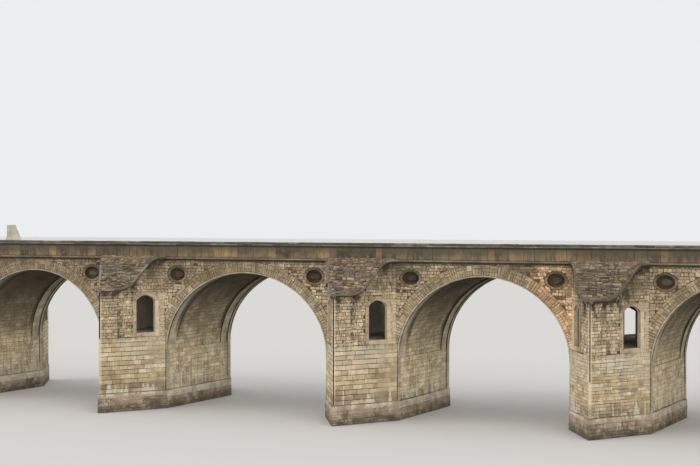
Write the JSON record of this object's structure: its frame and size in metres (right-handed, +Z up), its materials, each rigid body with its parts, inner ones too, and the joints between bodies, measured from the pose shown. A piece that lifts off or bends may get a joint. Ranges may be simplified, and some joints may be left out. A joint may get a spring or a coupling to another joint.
{
  "type": "stone arch bridge, 1:2 scale model",
  "caption": "Stone river bridge of elliptical arches on piers with pointed cutwaters, S-shaped cutwater roofs, flood chambers and a parapeted road.",
  "frame": {"origin": "under the middle of the bridge, at the water line, the lowest point of the piers", "axes": "+X along the bridge to the right as seen from the front, -Y out of the front face, +Z up"},
  "size_m": [36.96, 9.6538, 6.4],
  "materials": {
    "footing_stone": "rough, dark and wet-stained stone",
    "pier_ashlar": "weathered ashlar with lime streaks",
    "spandrel_stone": "small squared stones, warm buff",
    "cutwater_stone": "squared stones over large ashlar, buff",
    "barrel_stone": "grey-brown stained barrel stone",
    "ring_stone": "thin radial stones with a light edge",
    "roof_stone": "grey-violet weathered rubble",
    "dressed_stone": "light dressed stone",
    "parapet_stone": "slabs, orange to grey-brown",
    "coping_stone": "light worn slabs",
    "fill_stone": "rubble fill",
    "road_surface": "worn grey road surface",
    "marker_pale_stone": "pale worn stone"
  },
  "bodies": {
    "root": {"arch_1_vault": "barrel_stone", "arch_2_vault": "barrel_stone", "arch_3_vault": "barrel_stone", "arch_4_vault": "barrel_stone", "back_arch_rings": "ring_stone", "back_coping": "coping_stone", "back_cutwater_roofs": "roof_stone", "back_medallions": "dressed_stone", "back_parapet": "parapet_stone", "back_string_course": "dressed_stone", "back_window_surrounds": "dressed_stone", "deck": "fill_stone", "front_arch_rings": "ring_stone", "front_coping": "coping_stone", "front_cutwater_roofs": "roof_stone", "front_medallions": "dressed_stone", "front_parapet": "parapet_stone", "front_string_course": "dressed_stone", "front_window_surrounds": "dressed_stone", "parapet_marker_stone": "marker_pale_stone", "pier_1_back_cutwater": "cutwater_stone", "pier_1_front_cutwater": "cutwater_stone", "pier_1_head": "spandrel_stone", "pier_1_shaft": "pier_ashlar", "pier_2_back_cutwater": "cutwater_stone", "pier_2_front_cutwater": "cutwater_stone", "pier_2_head": "spandrel_stone", "pier_2_shaft": "pier_ashlar", "pier_3_back_cutwater": "cutwater_stone", "pier_3_front_cutwater": "cutwater_stone", "pier_3_head": "spandrel_stone", "pier_3_shaft": "pier_ashlar", "pier_4_back_cutwater": "cutwater_stone", "pier_4_front_cutwater": "cutwater_stone", "pier_4_head": "spandrel_stone", "pier_4_shaft": "pier_ashlar", "pier_5_back_cutwater": "cutwater_stone", "pier_5_front_cutwater": "cutwater_stone", "pier_5_head": "spandrel_stone", "pier_5_shaft": "pier_ashlar", "pier_footings": "footing_stone", "roadway": "road_surface"}
  },
  "joints": []
}
